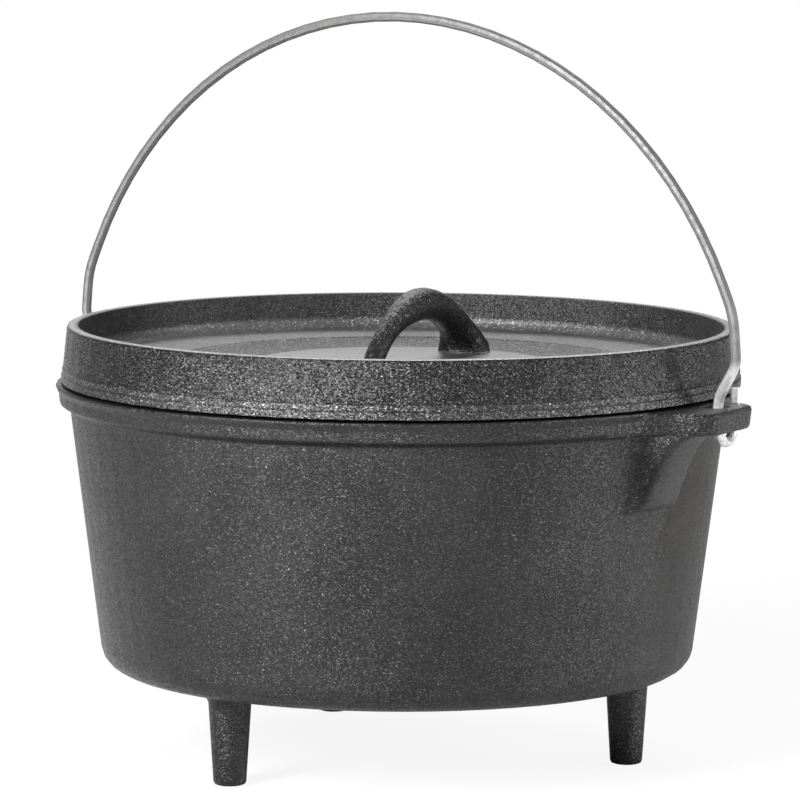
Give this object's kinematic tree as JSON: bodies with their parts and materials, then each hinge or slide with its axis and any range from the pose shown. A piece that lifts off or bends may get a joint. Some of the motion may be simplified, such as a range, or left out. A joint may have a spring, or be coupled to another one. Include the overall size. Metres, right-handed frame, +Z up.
{
  "type": "cast iron camp pot",
  "caption": "Footed cast iron camp pot with a flanged lid, a loop handle on the lid and a folding wire bail hooked into its ears.",
  "frame": {"origin": "on the ground under the middle of the pot, level with the soles of its legs", "axes": "+Z up; X runs through the two ears; +Y is the side that the wire's hooks turn up on and the bail folds down to"},
  "size_m": [0.3874, 0.3346, 0.365],
  "materials": {
    "pot_iron": "sand-cast, seasoned dark grey",
    "lid_iron": "sand-cast, seasoned dark grey, machined disc in the middle",
    "zinc_wire": "bright zinc-plated steel wire"
  },
  "bodies": {
    "pot": {"pot": "pot_iron"},
    "lid": {"lid": "lid_iron"},
    "bail": {"bail": "zinc_wire"}
  },
  "joints": [
    {"name": "bail_swing", "type": "hinge", "parent": "pot", "child": "bail", "pos_m": [0, 0.0167, 0.1782], "axis": [-1, 0, 0], "range_deg": [-14, 137]},
    {"name": "lid_lift", "type": "slide", "parent": "pot", "child": "lid", "axis": [0, 0, 1], "range_m": [0, 0.055]}
  ]
}
